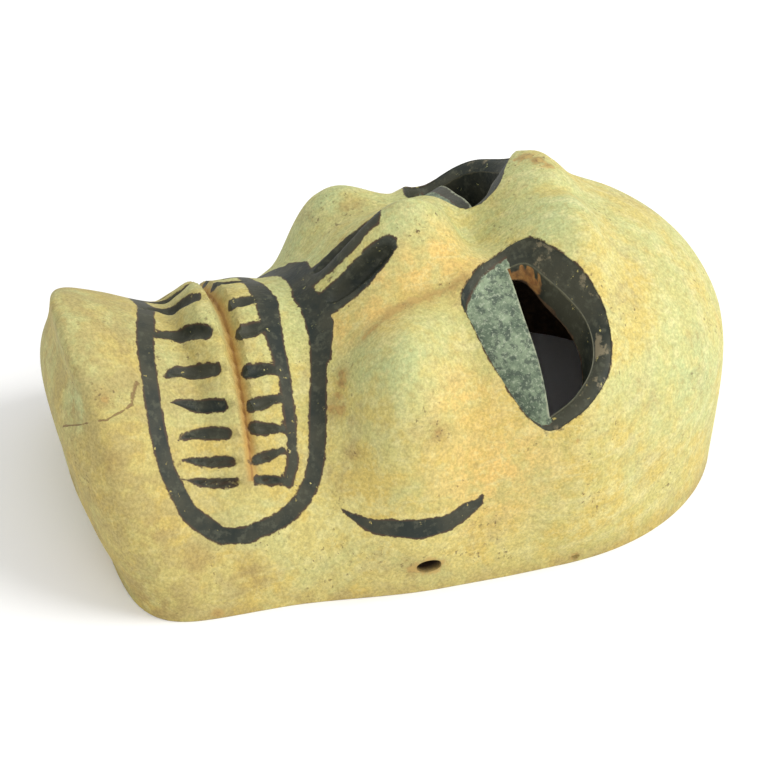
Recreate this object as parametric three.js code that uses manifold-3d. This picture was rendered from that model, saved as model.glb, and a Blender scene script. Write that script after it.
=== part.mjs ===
import * as THREE from 'three';
import { mergeGeometries, mergeVertices } from 'three/addons/utils/BufferGeometryUtils.js';
import Module from 'manifold-3d';

// A skull mask carved from one block of wood, hollow behind and open at the eyes.
// It lies face up on its flat rim. Sizes are in millimetres: +X is the mask's own left,
// +Y runs from the chin to the crown and +Z comes out of the face.

// The rounded block before the features are carved, with the rim at Z = 0.
// Where a form starts, is full, fades and ends is given along the face (Y).
const JAW = { halfWidth: 78, height: 80, starts: -58.5, length: 56.8, squareness: 6 };
const CROWN = { starts: 46.5, length: 86.3 };
const CROWN_LEAN = { by: 3.9, height: 60, starts: 30, full: 110 };
const FOREHEAD = { extraHeight: 28.6, starts: -45, full: 38 };
const CHEEK_WIDENING = { by: 5.3, starts: -60, full: 0 };
const TEMPLE_NARROWING = { by: 1.1, starts: 20, full: 60 };
const CHIN_LEAN = { by: 14.2, steepness: 2.6, bow: 0.0006, height: 60, starts: -60, full: -110 };
const UPRIGHT_WALL = { height: 48, starts: -70, full: 50, rounding: 14 };
const SIDE_ROUNDNESS = 1.94;
const TOP_ROUNDNESS = 1.8;
const RIM_BLEND = 25;
const THINNEST = 0.0001;

// Wall thickness at the rim and at the top of the face
const RIM_WALL = 9;
const FACE_WALL = 13;

// Carved forms: how far they rise, and where they lie across (X) and along (Y) the face
const CHEEK = { rise: 15.5, across: 50.5, spread: 23, starts: -31, full: -8, fades: -6, ends: 20 };
const CHEEK_HOLLOW = { depth: 3, across: 44, spread: 20, along: -38, length: 7 };
const BROW = { rise: 11.3, across: 22, spread: 30, along: 63.6, length: 14 };
const SOCKET_RIM = { rise: 9.3, across: 66.4, spread: 17, along: 51.8, length: 16 };
const NOSE_ROOT = { depth: 12.5, spread: 24, along: 39, length: 11 };
const NOSE = { rise: 19, halfWidth: 15, sharpness: 1.5, starts: -36, full: 8, fades: 4, ends: 34 };
const NOSE_CREASE = { depth: 4, across: 32, spread: 8, length: 18 };
const CHIN = { rise: 20.3, spread: 53, along: -104.5, length: 12.5 };
const CHIN_NECK = { depth: 8.7, spread: 57, along: -84.2, length: 8.6 };
const LOWER_LIP = { rise: 4.4, spread: 60, along: -63.7, length: 6.2 };
const UPPER_LIP = { rise: 1.8, spread: 50, along: -50, length: 9 };
const MOUTH_KEEL = { rise: 3.6, spread: 20, starts: -98, full: -74, fades: -46, ends: -30 };

// Groove between the two rows of teeth
const BITE = { along: -60.4, bend: 0.00107, reach: 61, fullness: 0.7 };
const BITE_MIDDLE = { width: 8, depth: 6.5 };
const BITE_END = { width: 2, depth: 1 };

// Gaps between the teeth, cut by hand, so they are a little uneven.
// Each starts near the bite and ends far from it, at these places across the face.
const LOWER_GAPS = {
  starts: [-58.5, -53, -46.5, -38, -26, -2.7, 17, 29.5, 41.2, 49.1, 55.9, 60.6],
  ends: [-57, -54, -50.5, -45, -36, -16, 6.3, 25, 34.5, 46.2, 51.8, 56.9],
  near: -66.4,
  far: -88,
  nearBend: 0.3,
  farBend: 0,
  steps: 6,
};
const UPPER_GAPS = {
  starts: [-59, -53.5, -46.5, -37, -25, -1, 15, 30.1, 41.6, 48.4, 56.4, 61.1],
  ends: [-60, -54, -47, -36, -21, 0, 14.4, 31.4, 40.9, 49.7, 55.2, 61.8],
  near: -57.4,
  far: -46.6,
  nearBend: 1.25,
  farBend: 1.8,
  steps: 4,
};
const WIDEST_GAP = 7;
const NARROWEST_GAP = 4;
const GAP_DEPTH = 2.2;
const GAP_TAPER = 0.6;
const GAP_END = 0.15;

// The nostrils and eye sockets are cut a little to the mask's left of its middle
const OFFSET = 2.5;

// Two slots beside the ridge of the nose
const NOSTRIL = { top: [8.9, 0.2], bottom: [9, -22.6], width: 8.5, depth: 6, taper: 0.5, end: 0.35 };

// Eye sockets, as points seen from the front; the half towards the crown is cut right through
const SOCKET_CROWN_SIDE = [
  [16, 43.2], [18.6, 50.6], [29.6, 57.2], [40.9, 64.2], [51.4, 68.6],
  [62, 68.4], [71.8, 63.9], [77.6, 55], [78.5, 43.9],
];
const SOCKET_CHIN_SIDE = [
  [78.5, 43.9], [77, 38], [70.9, 31], [59.1, 24.9], [47, 21.7],
  [34.4, 20.2], [26.5, 27.2], [18.9, 36], [16, 43.2],
];
const SOCKET_FOCUS = [50, 34];
const SOCKET_NARROWING = 0.84;
const SOCKET_DEPTH = { byNose: 4.5, outside: 9, starts: 16, full: 46 };
const OPENING_NARROWING = 0.86;
const OPENING_DEPTH = 34;

// Oval holes low on each side, where a tie went through
const TIE_HOLE = { along: -4.8, height: 12.5, halfLength: 4.8, halfHeight: 3.1 };

// Fineness of the facets
const FACETS_ACROSS = 40;
const FACETS_ALONG = 52;
const HOLLOW_FACETS_ACROSS = 20;
const HOLLOW_FACETS_ALONG = 28;
const FACET_CROWDING = 0.4;
const SOCKET_FACETS = 28;
const TIE_HOLE_FACETS = 16;
const GROOVE_STEPS = 21;
const NOSTRIL_STEPS = 5;

// Working allowances
const OVERSHOOT = 5;
const LIFT = 12;
const SKIM = 0.8;
const HALVINGS = 26;
const NEAREST = 15;
const FARTHEST = 220;
const SMALL_STEP = 0.01;
const LIP = 1.5;
const DOME = new THREE.Vector3(80, 125, 95);

const wasm = await Module();
wasm.setup();

function smooth(value, from, to) {
  return THREE.MathUtils.smoothstep(value, from, to);
}

function bump(value, centre, spread) {
  return Math.exp(-(((value - centre) / spread) ** 2));
}

// From 0 where a form starts to 1 where it is full, in either direction
function growth(value, form) {
  const turned = Math.sign(form.full - form.starts);
  return smooth(value * turned, form.starts * turned, form.full * turned);
}

function plateau(value, form) {
  return growth(value, form) * (1 - smooth(value, form.fades, form.ends));
}

// Below 1 inside the rounded block, above 1 outside it
function blockValue(point) {
  const chinRaised = THREE.MathUtils.clamp(point.z / CHIN_LEAN.height, 0, 1);
  const chinLean = CHIN_LEAN.by * Math.sin((Math.PI / 2) * chinRaised) ** CHIN_LEAN.steepness;
  const chinBow = CHIN_LEAN.bow * point.x ** 2;
  const crownLean = CROWN_LEAN.by * THREE.MathUtils.clamp(point.z / CROWN_LEAN.height, 0, 1);
  const along = point.y
    + (chinLean - chinBow) * growth(point.y, CHIN_LEAN)
    - crownLean * growth(point.y, CROWN_LEAN);
  const crownReach = THREE.MathUtils.clamp((along - CROWN.starts) / CROWN.length, 0, 1);
  const jawReach = THREE.MathUtils.clamp((JAW.starts - along) / JAW.length, 0, 1);
  const crown = Math.sqrt(1 - crownReach ** 2);
  const jaw = (1 - jawReach ** JAW.squareness) ** (1 / JAW.squareness);
  const closing = Math.max(crown * jaw, THINNEST);
  const widening = CHEEK_WIDENING.by * growth(along, CHEEK_WIDENING)
    - TEMPLE_NARROWING.by * growth(along, TEMPLE_NARROWING);
  const halfWidth = (JAW.halfWidth + widening) * closing;
  const upright = UPRIGHT_WALL.height * growth(along, UPRIGHT_WALL);
  const height = JAW.height + FOREHEAD.extraHeight * growth(along, FOREHEAD);
  const above = point.z - upright;
  const rise = (above + Math.hypot(above, UPRIGHT_WALL.rounding)) / 2;
  const side = (Math.abs(point.x) / halfWidth) ** SIDE_ROUNDNESS;
  return side + (rise / ((height - upright) * closing)) ** TOP_ROUNDNESS;
}

// Point of the rounded block in a direction from the middle of the rim
function blockPoint(direction) {
  let near = NEAREST;
  let far = FARTHEST;
  const probe = new THREE.Vector3();
  for (let i = 0; i < HALVINGS; i += 1) {
    const middle = (near + far) / 2;
    probe.copy(direction).multiplyScalar(middle);
    if (blockValue(probe) < 1) {
      near = middle;
    } else {
      far = middle;
    }
  }
  return probe.copy(direction).multiplyScalar(near);
}

// How far the carving stands above the rounded block, or below it where negative
function carving(point) {
  const across = Math.abs(point.x);
  const along = point.y;
  let rise = CHEEK.rise * bump(across, CHEEK.across, CHEEK.spread) * plateau(along, CHEEK);
  rise -= CHEEK_HOLLOW.depth * bump(across, CHEEK_HOLLOW.across, CHEEK_HOLLOW.spread)
    * bump(along, CHEEK_HOLLOW.along, CHEEK_HOLLOW.length);
  rise += BROW.rise * bump(across, BROW.across, BROW.spread) * bump(along, BROW.along, BROW.length);
  rise += SOCKET_RIM.rise * bump(across, SOCKET_RIM.across, SOCKET_RIM.spread)
    * bump(along, SOCKET_RIM.along, SOCKET_RIM.length);
  rise -= NOSE_ROOT.depth * bump(across, 0, NOSE_ROOT.spread)
    * bump(along, NOSE_ROOT.along, NOSE_ROOT.length);
  rise += NOSE.rise * plateau(along, NOSE) * Math.exp(-((across / NOSE.halfWidth) ** NOSE.sharpness));
  rise -= NOSE_CREASE.depth * bump(across, NOSE_CREASE.across, NOSE_CREASE.spread)
    * bump(along, 0, NOSE_CREASE.length);
  rise += CHIN.rise * bump(across, 0, CHIN.spread) * bump(along, CHIN.along, CHIN.length);
  rise -= CHIN_NECK.depth * bump(across, 0, CHIN_NECK.spread)
    * bump(along, CHIN_NECK.along, CHIN_NECK.length);
  rise += LOWER_LIP.rise * bump(across, 0, LOWER_LIP.spread)
    * bump(along, LOWER_LIP.along, LOWER_LIP.length);
  rise += UPPER_LIP.rise * bump(across, 0, UPPER_LIP.spread)
    * bump(along, UPPER_LIP.along, UPPER_LIP.length);
  rise += MOUTH_KEEL.rise * bump(across, 0, MOUTH_KEEL.spread) * plateau(along, MOUTH_KEEL);
  return rise * smooth(point.z, 0, RIM_BLEND);
}

// Point of the carved face in a direction from the middle of the rim
function facePoint(direction) {
  const point = blockPoint(direction);
  return point.addScaledVector(direction, carving(point));
}

// The hollow keeps its distance where the face is sunk below the rounded block
function hollowPoint(direction) {
  const point = blockPoint(direction);
  const sunk = Math.min(carving(point), 0);
  const wall = THREE.MathUtils.lerp(RIM_WALL, FACE_WALL, smooth(point.z, 0, JAW.height));
  point.addScaledVector(direction, sunk - wall);
  if (point.z < SMALL_STEP) {
    point.z = -OVERSHOOT;
  }
  return point;
}

// Point of the carved face straight above a place seen from the front
function faceAbove(across, along) {
  let low = 0;
  let high = FARTHEST;
  const point = new THREE.Vector3();
  const direction = new THREE.Vector3();
  for (let i = 0; i < HALVINGS; i += 1) {
    const middle = (low + high) / 2;
    point.set(across, along, middle);
    direction.copy(point).normalize();
    if (point.length() < facePoint(direction).length()) {
      low = middle;
    } else {
      high = middle;
    }
  }
  return point;
}

// Direction square to the carved face at one of its points
function outwardAt(point) {
  const beside = faceAbove(point.x + SMALL_STEP, point.y).sub(point);
  const beyond = faceAbove(point.x, point.y + SMALL_STEP).sub(point);
  return beside.cross(beyond).normalize();
}

function place(geometry, move) {
  const positions = geometry.attributes.position;
  const vertex = new THREE.Vector3();
  for (let i = 0; i < positions.count; i += 1) {
    vertex.fromBufferAttribute(positions, i);
    const moved = move(vertex);
    positions.setXYZ(i, moved.x, moved.y, moved.z);
  }
  geometry.deleteAttribute('normal');
  geometry.deleteAttribute('uv');
  return geometry;
}

function turnInsideOut(geometry) {
  const index = geometry.index;
  for (let i = 0; i < index.count; i += 3) {
    const first = index.getX(i);
    index.setX(i, index.getX(i + 1));
    index.setX(i + 1, first);
  }
  return geometry;
}

function enclosedVolume(geometry) {
  const positions = geometry.attributes.position;
  const [a, b, c] = [new THREE.Vector3(), new THREE.Vector3(), new THREE.Vector3()];
  let volume = 0;
  for (let i = 0; i < geometry.index.count; i += 3) {
    a.fromBufferAttribute(positions, geometry.index.getX(i));
    b.fromBufferAttribute(positions, geometry.index.getX(i + 1));
    c.fromBufferAttribute(positions, geometry.index.getX(i + 2));
    volume += a.dot(b.cross(c)) / 6;
  }
  return volume;
}

function solid(geometry) {
  const merged = mergeVertices(geometry);
  if (enclosedVolume(merged) < 0) {
    turnInsideOut(merged);
  }
  const vertProperties = new Float32Array(merged.attributes.position.array);
  const triVerts = new Uint32Array(merged.index.array);
  return new wasm.Manifold(new wasm.Mesh({ numProp: 3, vertProperties, triVerts }));
}

// A square sheet becomes a dome: its four sides meet the rim and its middle the top of the face
function sheetDirection(sheet) {
  const crowd = (value) => value - (FACET_CROWDING * Math.sin(Math.PI * value)) / Math.PI;
  const u = crowd(sheet.x);
  const v = crowd(sheet.y);
  const x = u * Math.sqrt(1 - v ** 2 / 2);
  const y = v * Math.sqrt(1 - u ** 2 / 2);
  const tilt = Math.min(Math.hypot(x, y), 1) * (Math.PI / 2);
  const turn = Math.atan2(y, x);
  const direction = new THREE.Vector3(
    Math.sin(tilt) * Math.cos(turn),
    Math.sin(tilt) * Math.sin(turn),
    Math.max(Math.cos(tilt), 0),
  );
  direction.multiply(DOME);
  if (direction.z < SMALL_STEP) {
    direction.z = 0;
  }
  return direction.normalize();
}

function rimOutline(sheet, columns, rows) {
  const outline = [];
  const add = (column, row) => {
    const at = row * (columns + 1) + column;
    outline.push(new THREE.Vector2().fromBufferAttribute(sheet.attributes.position, at));
  };
  for (let row = 0; row < rows; row += 1) {
    add(0, row);
  }
  for (let column = 0; column < columns; column += 1) {
    add(column, rows);
  }
  for (let row = rows; row > 0; row -= 1) {
    add(columns, row);
  }
  for (let column = columns; column > 0; column -= 1) {
    add(column, 0);
  }
  return outline;
}

function dome(pointAt, columns, rows, floorLevel) {
  const grid = new THREE.PlaneGeometry(2, 2, columns, rows);
  const sheet = place(grid, (vertex) => pointAt(sheetDirection(vertex)));
  const floor = new THREE.ShapeGeometry(new THREE.Shape(rimOutline(sheet, columns, rows)));
  place(floor, (vertex) => vertex.setZ(floorLevel));
  return solid(mergeGeometries([sheet, turnInsideOut(floor)]));
}

// A V-shaped cut along a path over the face, with its keel below the surface
function vCut(path, widthAt, depthAt, steps) {
  const cut = place(new THREE.CylinderGeometry(1, 1, 1, 4, steps), (vertex) => {
    const t = 0.5 - vertex.y;
    const centre = path(t);
    const ahead = path(Math.min(t + SMALL_STEP, 1)).sub(path(Math.max(t - SMALL_STEP, 0)));
    const outward = outwardAt(centre);
    const sideways = ahead.cross(outward).normalize();
    const depth = depthAt(t);
    const halfWidth = (widthAt(t) / 2) * (1 + SKIM / depth);
    centre.addScaledVector(sideways, vertex.x * halfWidth);
    centre.addScaledVector(outward, vertex.z > 0 ? vertex.z * LIFT : vertex.z * depth);
    return centre.addScaledVector(outward, Math.abs(vertex.x) * SKIM);
  });
  return solid(cut);
}

function bite() {
  const path = (t) => {
    const across = THREE.MathUtils.lerp(-BITE.reach, BITE.reach, t);
    return faceAbove(across, BITE.along - BITE.bend * across ** 2);
  };
  const fullness = (t) => Math.sin(Math.PI * t) ** BITE.fullness;
  const width = (t) => THREE.MathUtils.lerp(BITE_END.width, BITE_MIDDLE.width, fullness(t));
  const depth = (t) => THREE.MathUtils.lerp(BITE_END.depth, BITE_MIDDLE.depth, fullness(t));
  return vCut(path, width, depth, GROOVE_STEPS);
}

function toothGap(row, index) {
  const [starts, ends] = [row.starts[index], row.ends[index]];
  const bend = BITE.bend * starts ** 2;
  const widest = THREE.MathUtils.lerp(WIDEST_GAP, NARROWEST_GAP, (starts / BITE.reach) ** 2);
  const [near, far] = [row.near - bend * row.nearBend, row.far - bend * row.farBend];
  const path = (t) => faceAbove(THREE.MathUtils.lerp(starts, ends, t), THREE.MathUtils.lerp(near, far, t));
  const fullness = (t) => THREE.MathUtils.lerp(GAP_END, 1, Math.sin(Math.PI * t ** GAP_TAPER));
  return vCut(path, (t) => widest * fullness(t), (t) => GAP_DEPTH * fullness(t), row.steps);
}

function nostril(side) {
  const path = (t) => faceAbove(
    side * THREE.MathUtils.lerp(NOSTRIL.top[0], NOSTRIL.bottom[0], t) + OFFSET,
    THREE.MathUtils.lerp(NOSTRIL.top[1], NOSTRIL.bottom[1], t),
  );
  const fullness = (t) => THREE.MathUtils.lerp(NOSTRIL.end, 1, Math.sin(Math.PI * t) ** NOSTRIL.taper);
  return vCut(path, (t) => NOSTRIL.width * fullness(t), (t) => NOSTRIL.depth * fullness(t), NOSTRIL_STEPS);
}

function curve(points) {
  return new THREE.SplineCurve(points.map((point) => new THREE.Vector2(...point)));
}

const crownSide = curve(SOCKET_CROWN_SIDE);
const chinSide = curve(SOCKET_CHIN_SIDE);
const focus = new THREE.Vector2(...SOCKET_FOCUS);

// The first half of a turn follows the crown side, the second half the chin side
function socketOutline(turn) {
  return turn < 0.5 ? crownSide.getPoint(turn * 2) : chinSide.getPoint(turn * 2 - 1);
}

// The opening has the same crown side, closed by a straight edge
function openingOutline(turn) {
  if (turn < 0.5) {
    return crownSide.getPoint(turn * 2);
  }
  return crownSide.getPoint(1).lerp(crownSide.getPoint(0), turn * 2 - 1);
}

// Depth of the socket's floor, which is shallower beside the nose
function floorDepth(flat) {
  return THREE.MathUtils.lerp(SOCKET_DEPTH.byNose, SOCKET_DEPTH.outside, growth(flat.x, SOCKET_DEPTH));
}

// A shaft with rings at given depths below the face, each drawn in towards the focus
function shaft(side, outline, rings) {
  const shape = new THREE.CylinderGeometry(1, 1, 1, SOCKET_FACETS, rings.length - 1);
  const middle = new THREE.Vector2();
  for (let i = 0; i < SOCKET_FACETS; i += 1) {
    middle.addScaledVector(outline(i / SOCKET_FACETS), 1 / SOCKET_FACETS);
  }
  return solid(place(shape, (vertex) => {
    const ring = rings[Math.round((0.5 - vertex.y) * (rings.length - 1))];
    const turns = (Math.atan2(vertex.x, vertex.z) / (2 * Math.PI) + 1) % 1;
    const nearest = (Math.round(turns * SOCKET_FACETS) % SOCKET_FACETS) / SOCKET_FACETS;
    const atCentre = Math.hypot(vertex.x, vertex.z) < 0.5;
    const flat = atCentre ? middle.clone() : outline(nearest);
    flat.sub(focus).multiplyScalar(ring.narrowing).add(focus);
    const point = faceAbove(side * flat.x + OFFSET, flat.y);
    point.z -= ring.depth(flat);
    return point;
  }));
}

function socket(side) {
  return shaft(side, socketOutline, [
    { depth: () => -LIFT, narrowing: 1 },
    { depth: () => LIP, narrowing: 1 },
    { depth: floorDepth, narrowing: SOCKET_NARROWING },
  ]);
}

function opening(side) {
  return shaft(side, openingOutline, [
    { depth: (flat) => floorDepth(flat) / 2, narrowing: SOCKET_NARROWING },
    { depth: floorDepth, narrowing: SOCKET_NARROWING },
    { depth: () => OPENING_DEPTH, narrowing: SOCKET_NARROWING * OPENING_NARROWING },
  ]);
}

function tieHole(side) {
  const shape = new THREE.CylinderGeometry(1, 1, 2 * LIFT + OVERSHOOT, TIE_HOLE_FACETS);
  const middle = side * (JAW.halfWidth + CHEEK_WIDENING.by);
  return solid(place(shape, (vertex) => new THREE.Vector3(
    middle + vertex.y,
    TIE_HOLE.along + vertex.x * TIE_HOLE.halfLength,
    TIE_HOLE.height + vertex.z * TIE_HOLE.halfHeight,
  )));
}

function carvedMask() {
  let body = dome(facePoint, FACETS_ACROSS, FACETS_ALONG, 0);
  body = body.subtract(dome(hollowPoint, HOLLOW_FACETS_ACROSS, HOLLOW_FACETS_ALONG, -OVERSHOOT));
  body = body.subtract(bite());
  for (const row of [LOWER_GAPS, UPPER_GAPS]) {
    for (let index = 0; index < row.starts.length; index += 1) {
      body = body.subtract(toothGap(row, index));
    }
  }
  for (const side of [-1, 1]) {
    body = body.subtract(nostril(side));
    body = body.subtract(socket(side));
    body = body.subtract(opening(side));
    body = body.subtract(tieHole(side));
  }
  return body;
}

function geometryOf(body) {
  const { vertProperties, triVerts } = body.getMesh();
  const geometry = new THREE.BufferGeometry();
  geometry.setAttribute('position', new THREE.BufferAttribute(vertProperties, 3));
  geometry.setIndex(new THREE.BufferAttribute(triVerts, 1));
  geometry.computeVertexNormals();
  return geometry;
}

const paintedWood = new THREE.MeshStandardMaterial({ color: 0xd9cf9a, roughness: 0.72, metalness: 0 });

const mask = new THREE.Mesh(geometryOf(carvedMask()), paintedWood);
mask.name = 'mask';

// The origin lies under the middle of the mask's length
const extent = new THREE.Box3().setFromObject(mask);
mask.position.y = -(extent.min.y + extent.max.y) / 2;

const object = new THREE.Group();
object.add(mask);

export default object;
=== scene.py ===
import math
from types import SimpleNamespace

import bmesh
import bpy
import numpy as np
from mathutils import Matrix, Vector


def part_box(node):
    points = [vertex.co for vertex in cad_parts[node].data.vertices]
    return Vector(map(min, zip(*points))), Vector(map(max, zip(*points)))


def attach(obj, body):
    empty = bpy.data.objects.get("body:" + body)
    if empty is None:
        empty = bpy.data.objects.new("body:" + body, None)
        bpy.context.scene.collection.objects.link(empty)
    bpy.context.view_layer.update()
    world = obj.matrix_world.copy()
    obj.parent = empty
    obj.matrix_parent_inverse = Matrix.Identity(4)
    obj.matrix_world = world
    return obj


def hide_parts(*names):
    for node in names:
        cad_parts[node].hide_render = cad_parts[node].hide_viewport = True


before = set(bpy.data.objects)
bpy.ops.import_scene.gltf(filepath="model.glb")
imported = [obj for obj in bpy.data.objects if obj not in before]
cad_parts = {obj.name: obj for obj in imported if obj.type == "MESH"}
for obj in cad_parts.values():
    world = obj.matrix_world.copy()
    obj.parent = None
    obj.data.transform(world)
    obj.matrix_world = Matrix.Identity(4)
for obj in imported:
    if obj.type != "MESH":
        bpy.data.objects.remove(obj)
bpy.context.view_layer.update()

# A skull mask carved from one block of wood and painted, lying face up on its rim.
# Lengths are millimetres until a mesh is finished. +X is the mask's own left,
# +Y runs from the chin to the crown and +Z comes out of the face.


class Form(SimpleNamespace):
    """Named measures. A form that doesn't say where it lies is in the middle."""
    across = 0
    along = 0


# The rounded block; where a form starts, is full, fades and ends is given along Y
JAW = Form(half_width=78, height=80, starts=-58.5, length=56.8, squareness=6)
CROWN = Form(starts=46.5, length=86.3)
CROWN_LEAN = Form(by=3.9, height=60, starts=30, full=110)
FOREHEAD = Form(extra_height=28.6, starts=-45, full=38)
CHEEK_WIDENING = Form(by=5.3, starts=-60, full=0)
TEMPLE_NARROWING = Form(by=1.1, starts=20, full=60)
CHIN_LEAN = Form(by=14.2, steepness=2.6, bow=0.0006, height=60, starts=-60, full=-110)
UPRIGHT_WALL = Form(height=48, starts=-70, full=50, rounding=14)
SIDE_ROUNDNESS = 1.94
TOP_ROUNDNESS = 1.8
THINNEST = 0.0001
RIM_BLEND = 25
RIM_WALL = 9
FACE_WALL = 13
DOME = np.array([80.0, 125.0, 95.0])

# Carved forms
CHEEK = Form(rise=15.5, across=50.5, spread=23, starts=-31, full=-8, fades=-6, ends=20)
CHEEK_HOLLOW = Form(depth=3, across=44, spread=20, along=-38, length=7)
BROW = Form(rise=11.3, across=22, spread=30, along=63.6, length=14)
SOCKET_RIM = Form(rise=9.3, across=66.4, spread=17, along=51.8, length=16)
NOSE_ROOT = Form(depth=12.5, spread=24, along=39, length=11)
NOSE = Form(rise=19, half_width=15, sharpness=1.5, starts=-36, full=8, fades=4, ends=34)
NOSE_CREASE = Form(depth=4, across=32, spread=8, length=18)
CHIN = Form(rise=20.3, spread=53, along=-104.5, length=12.5)
CHIN_NECK = Form(depth=8.7, spread=57, along=-84.2, length=8.6)
LOWER_LIP = Form(rise=4.4, spread=60, along=-63.7, length=6.2)
UPPER_LIP = Form(rise=1.8, spread=50, along=-50, length=9)
MOUTH_KEEL = Form(rise=3.6, spread=20, starts=-98, full=-74, fades=-46, ends=-30)

# Teeth, nose and eyes
BITE = Form(along=-60.4, bend=0.00107, reach=61, fullness=0.7)
BITE_MIDDLE = Form(width=8, depth=6.5)
BITE_END = Form(width=2, depth=1)
# A gap's stroke of paint starts at a share of its length, negative where it is longer
LOWER_GAPS = Form(
    starts=(-58.5, -53, -46.5, -38, -26, -2.7, 17, 29.5, 41.2, 49.1, 55.9, 60.6),
    ends=(-57, -54, -50.5, -45, -36, -16, 6.3, 25, 34.5, 46.2, 51.8, 56.9),
    bows=(0, 0, 0, 0, 0, -6, -6.3, -5.2, -2.4, -3.3, -1.1, -0.7),
    near=-66.4, far=-88, near_bend=0.3, far_bend=0,
    stroke_starts=0.2, stroke_stretch=(0.12, 1),
)
UPPER_GAPS = Form(
    starts=(-59, -53.5, -46.5, -37, -25, -1, 15, 30.1, 41.6, 48.4, 56.4, 61.1),
    ends=(-60, -54, -47, -36, -21, 0, 14.4, 31.4, 40.9, 49.7, 55.2, 61.8),
    bows=(0, 0, 0, 0, 0, -0.3, -0.4, -0.8, -0.4, -0.2, -0.2, -0.1),
    near=-57.4, far=-46.6, near_bend=1.25, far_bend=1.8,
    stroke_starts=-0.16, stroke_stretch=(0.1, 0.8),
)
WIDEST_GAP = 7
NARROWEST_GAP = 4
LENGTHENED_WITH_WIDTH = 2.5
OFFSET = 2.5
# A groove's reach is a share of its width, and a tip is a share of the full size
BITE_CUT = Form(chin_side=1.45, crown_side=1.05, least_reach=3, fades=0.04)
GAP = Form(depth=2.2, reach=0.62, roundness=0.7, tip=0.15, skew=0.6, fullness=1)
NOSTRIL = Form(
    top=(8.9, 0.2), bottom=(9, -22.6), width=8.5, depth=6, reach=0.6, roundness=0.6,
    tip=0.35, skew=1, fullness=0.5,
)
STROKE = Form(tip=0.1, skew=0.6, fullness=0.6)
BOW_SKEW = 1.4
BITE_WEAR = Form(ends_at=0.999, reach=9, shorter=8)
SOCKET_CROWN_SIDE = [
    (16, 43.2), (18.6, 50.6), (29.6, 57.2), (40.9, 64.2), (51.4, 68.6),
    (62, 68.4), (71.8, 63.9), (77.6, 55), (78.5, 43.9),
]
SOCKET_CHIN_SIDE = [
    (78.5, 43.9), (77, 38), (70.9, 31), (59.1, 24.9), (47, 21.7),
    (34.4, 20.2), (26.5, 27.2), (18.9, 36), (16, 43.2),
]
SOCKET_FOCUS = np.array([50.0, 34.0])
SOCKET_NARROWING = 0.84
SOCKET_DEPTH = Form(by_nose=4.5, outside=9, starts=16, full=46)
OPENING_NARROWING = 0.826
OPENING_FOOT_NARROWING = 0.7224
OPENING_DEPTH = 34
SOCKET_FLOOR_RINGS = (0.81, 0.74, 0.64, 0.54, 0.44, 0.34, 0.24, 0.14, 0.06)
TIE_HOLE = Form(along=-4.8, height=12.5, half_length=4.8, half_height=3.1, inner=66, outer=92)

# Low relief, where unevenness is height, size and seed
HAND_CUT = ((0.3, 34, 3), (0.12, 11, 4))
HAND_CUT_STARTS = 18
GOUGING = Form(height=0.45, size=9, seed=7, starts=2, full=12)
TOOL_RINGS = Form(
    middle=(52, 44, 92), height=0.16, spacing=11, starts=36, full=46, fades=84, ends=110,
    crownward=(10, 50), wander=(2.5, 40, 9), spread=3, spread_length=7,
)
NICK = Form(place=(82.6, 53, 2.4), size=(2.2, 1.8, 1.1), unevenness=(0.15, 0.8, 5))

# Brushed outlines: places seen from the front, with half the brush's width
MOUTH_RING = [
    (-1, -90, 2.8), (10.8, -92.4, 2.9), (18.9, -93.5, 2.9), (32.5, -94.8, 2.7), (45.3, -95.6, 2.6),
    (55.6, -94.5, 2.6), (63.8, -89.5, 2.9), (68.6, -78.1, 3.2), (70.2, -69.8, 3.3), (70, -62.4, 3.2),
    (68.6, -54.4, 3.2), (66.7, -47.6, 3), (63.2, -43, 3), (57.9, -40, 3), (50.6, -37.6, 3.2),
    (41.8, -35.2, 3.3), (34.1, -32.9, 3.3), (25.7, -30.7, 3.4), (16.4, -29.5, 3.8), (2.6, -29.3, 4),
]
FAR_RING_SHIFT = Form(by=7, starts=-2, full=20, fades=52, ends=69)
GUM_LINE = [
    (-1.7, -43.7, 3.6), (6.1, -44.9, 3.9), (21.5, -45.8, 2.6), (32.8, -45.6, 2), (44.4, -46.9, 1.8),
    (52.8, -48, 1.8), (59, -49.2, 1.9), (62.3, -52, 1.8),
]
NOSTRIL_BASE = [
    (2.4, -29.7, 4.2), (11.1, -27.6, 4.6), (20.3, -26.4, 3.4), (31.4, -28.6, 1.2),
]
NEAR_NOSTRIL_PAINT = [
    (9.3, 0.6, 4.2), (10.3, -4, 5.6), (11.7, -10, 6.4), (12.2, -15.5, 6.3), (11.6, -22.8, 6),
]
FAR_NOSTRIL_PAINT = [
    (-1.9, -1.6, 5), (-3, -5, 7), (-3.6, -10, 7.8), (-4, -15.5, 7.6), (-5, -22.8, 6.2),
]

# Paint and wear in the eye sockets
SOCKET_PAINT = Form(
    over_rim=0.4, into_floor=2.2, surface=0.9, inside=0.3, below_floor=0.8,
    reach=6, lowest=40, crown_side=(42.5, 43.5), grey_ends_far=37, edge_reach=0.4,
    far_into_black=12, grey_floor=-1.5, grey_off=6, full_black=4, wood_fades=(25, 38),
)
# Low and high corner of the space round an eye, on either side
EYE_REGION = ((-1, 8, 40), (88, 76, 200))
# Higher than this above the hollow, an eye opening is painted down to its foot
FOOT_OF_OPENING = 1.1
PAINTED_TO_FOOT = 9

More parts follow.
